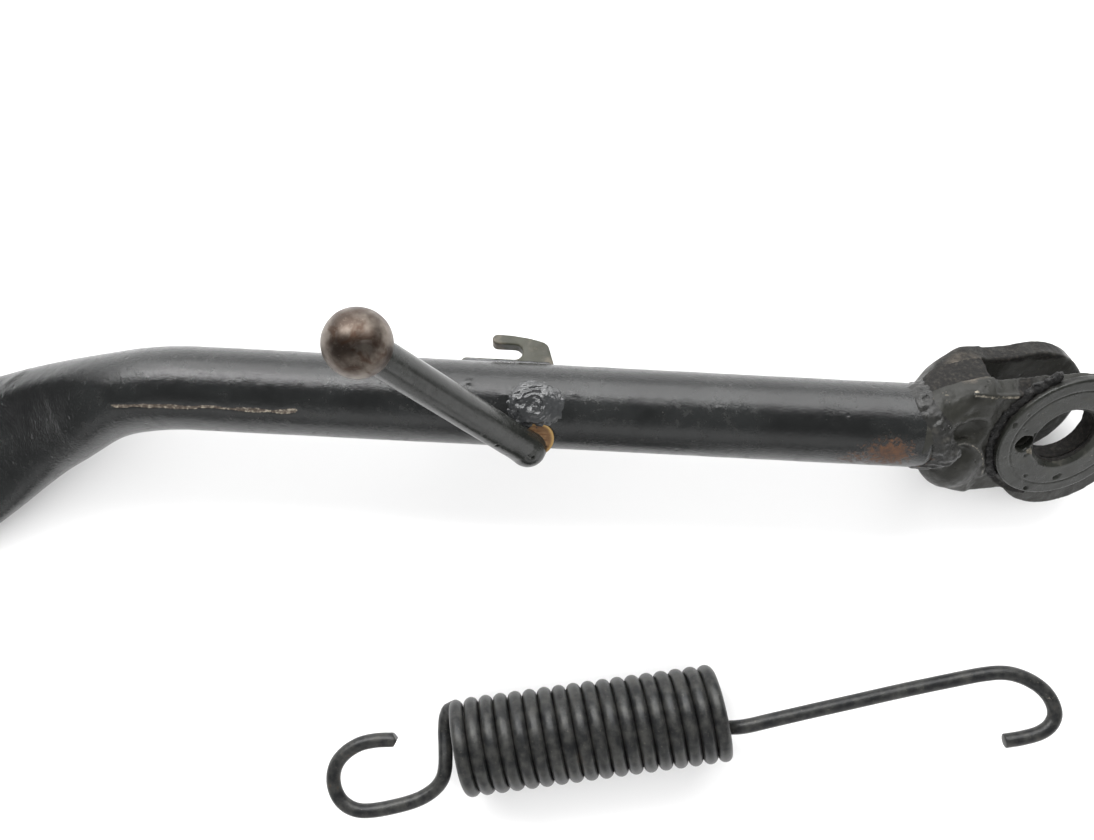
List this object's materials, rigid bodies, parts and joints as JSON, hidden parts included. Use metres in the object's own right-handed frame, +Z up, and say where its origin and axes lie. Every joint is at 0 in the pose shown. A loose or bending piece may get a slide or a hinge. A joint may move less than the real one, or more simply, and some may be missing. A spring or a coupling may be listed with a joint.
{
  "type": "motorcycle side stand",
  "caption": "Motorcycle side stand: bent tube leg with flattened foot, forged pivot yoke with raised collar, ball-ended heel peg, hook plate and its loose return spring.",
  "frame": {"origin": "middle of the pivot bore, on its axis", "axes": "+X along the leg from the foot to the yoke, +Z up from the flat surface the stand lies on, +Y across the leg away from the loose spring"},
  "size_m": [0.366, 0.1416, 0.0885],
  "materials": {
    "black_paint": "gloss",
    "worn_steel": "worn",
    "weld_metal": "gloss",
    "spring_wire": "satin"
  },
  "bodies": {
    "stand": {"leg_tube": "black_paint", "foot": "black_paint", "yoke": "black_paint", "pivot_collar": "black_paint", "yoke_weld": "weld_metal", "collar_weld": "weld_metal", "peg_rod": "black_paint", "peg_ball": "worn_steel", "peg_weld": "weld_metal", "spring_tab": "black_paint", "tab_weld": "weld_metal"},
    "spring": {"spring_coil": "spring_wire", "spring_short_hook": "spring_wire"},
    "spring_far_end": {"spring_long_hook": "spring_wire"}
  },
  "joints": [
    {"name": "spring_lift", "type": "slide", "parent": "stand", "child": "spring", "axis": [0, 0, 1], "range_m": [0, 0.06]},
    {"name": "spring_stretch", "type": "slide", "parent": "spring", "child": "spring_far_end", "axis": [0.9823, 0.1874, 0], "range_m": [0, 0.045], "stiffness_N_per_m": 3000, "deforming": ["spring_coil"]}
  ]
}
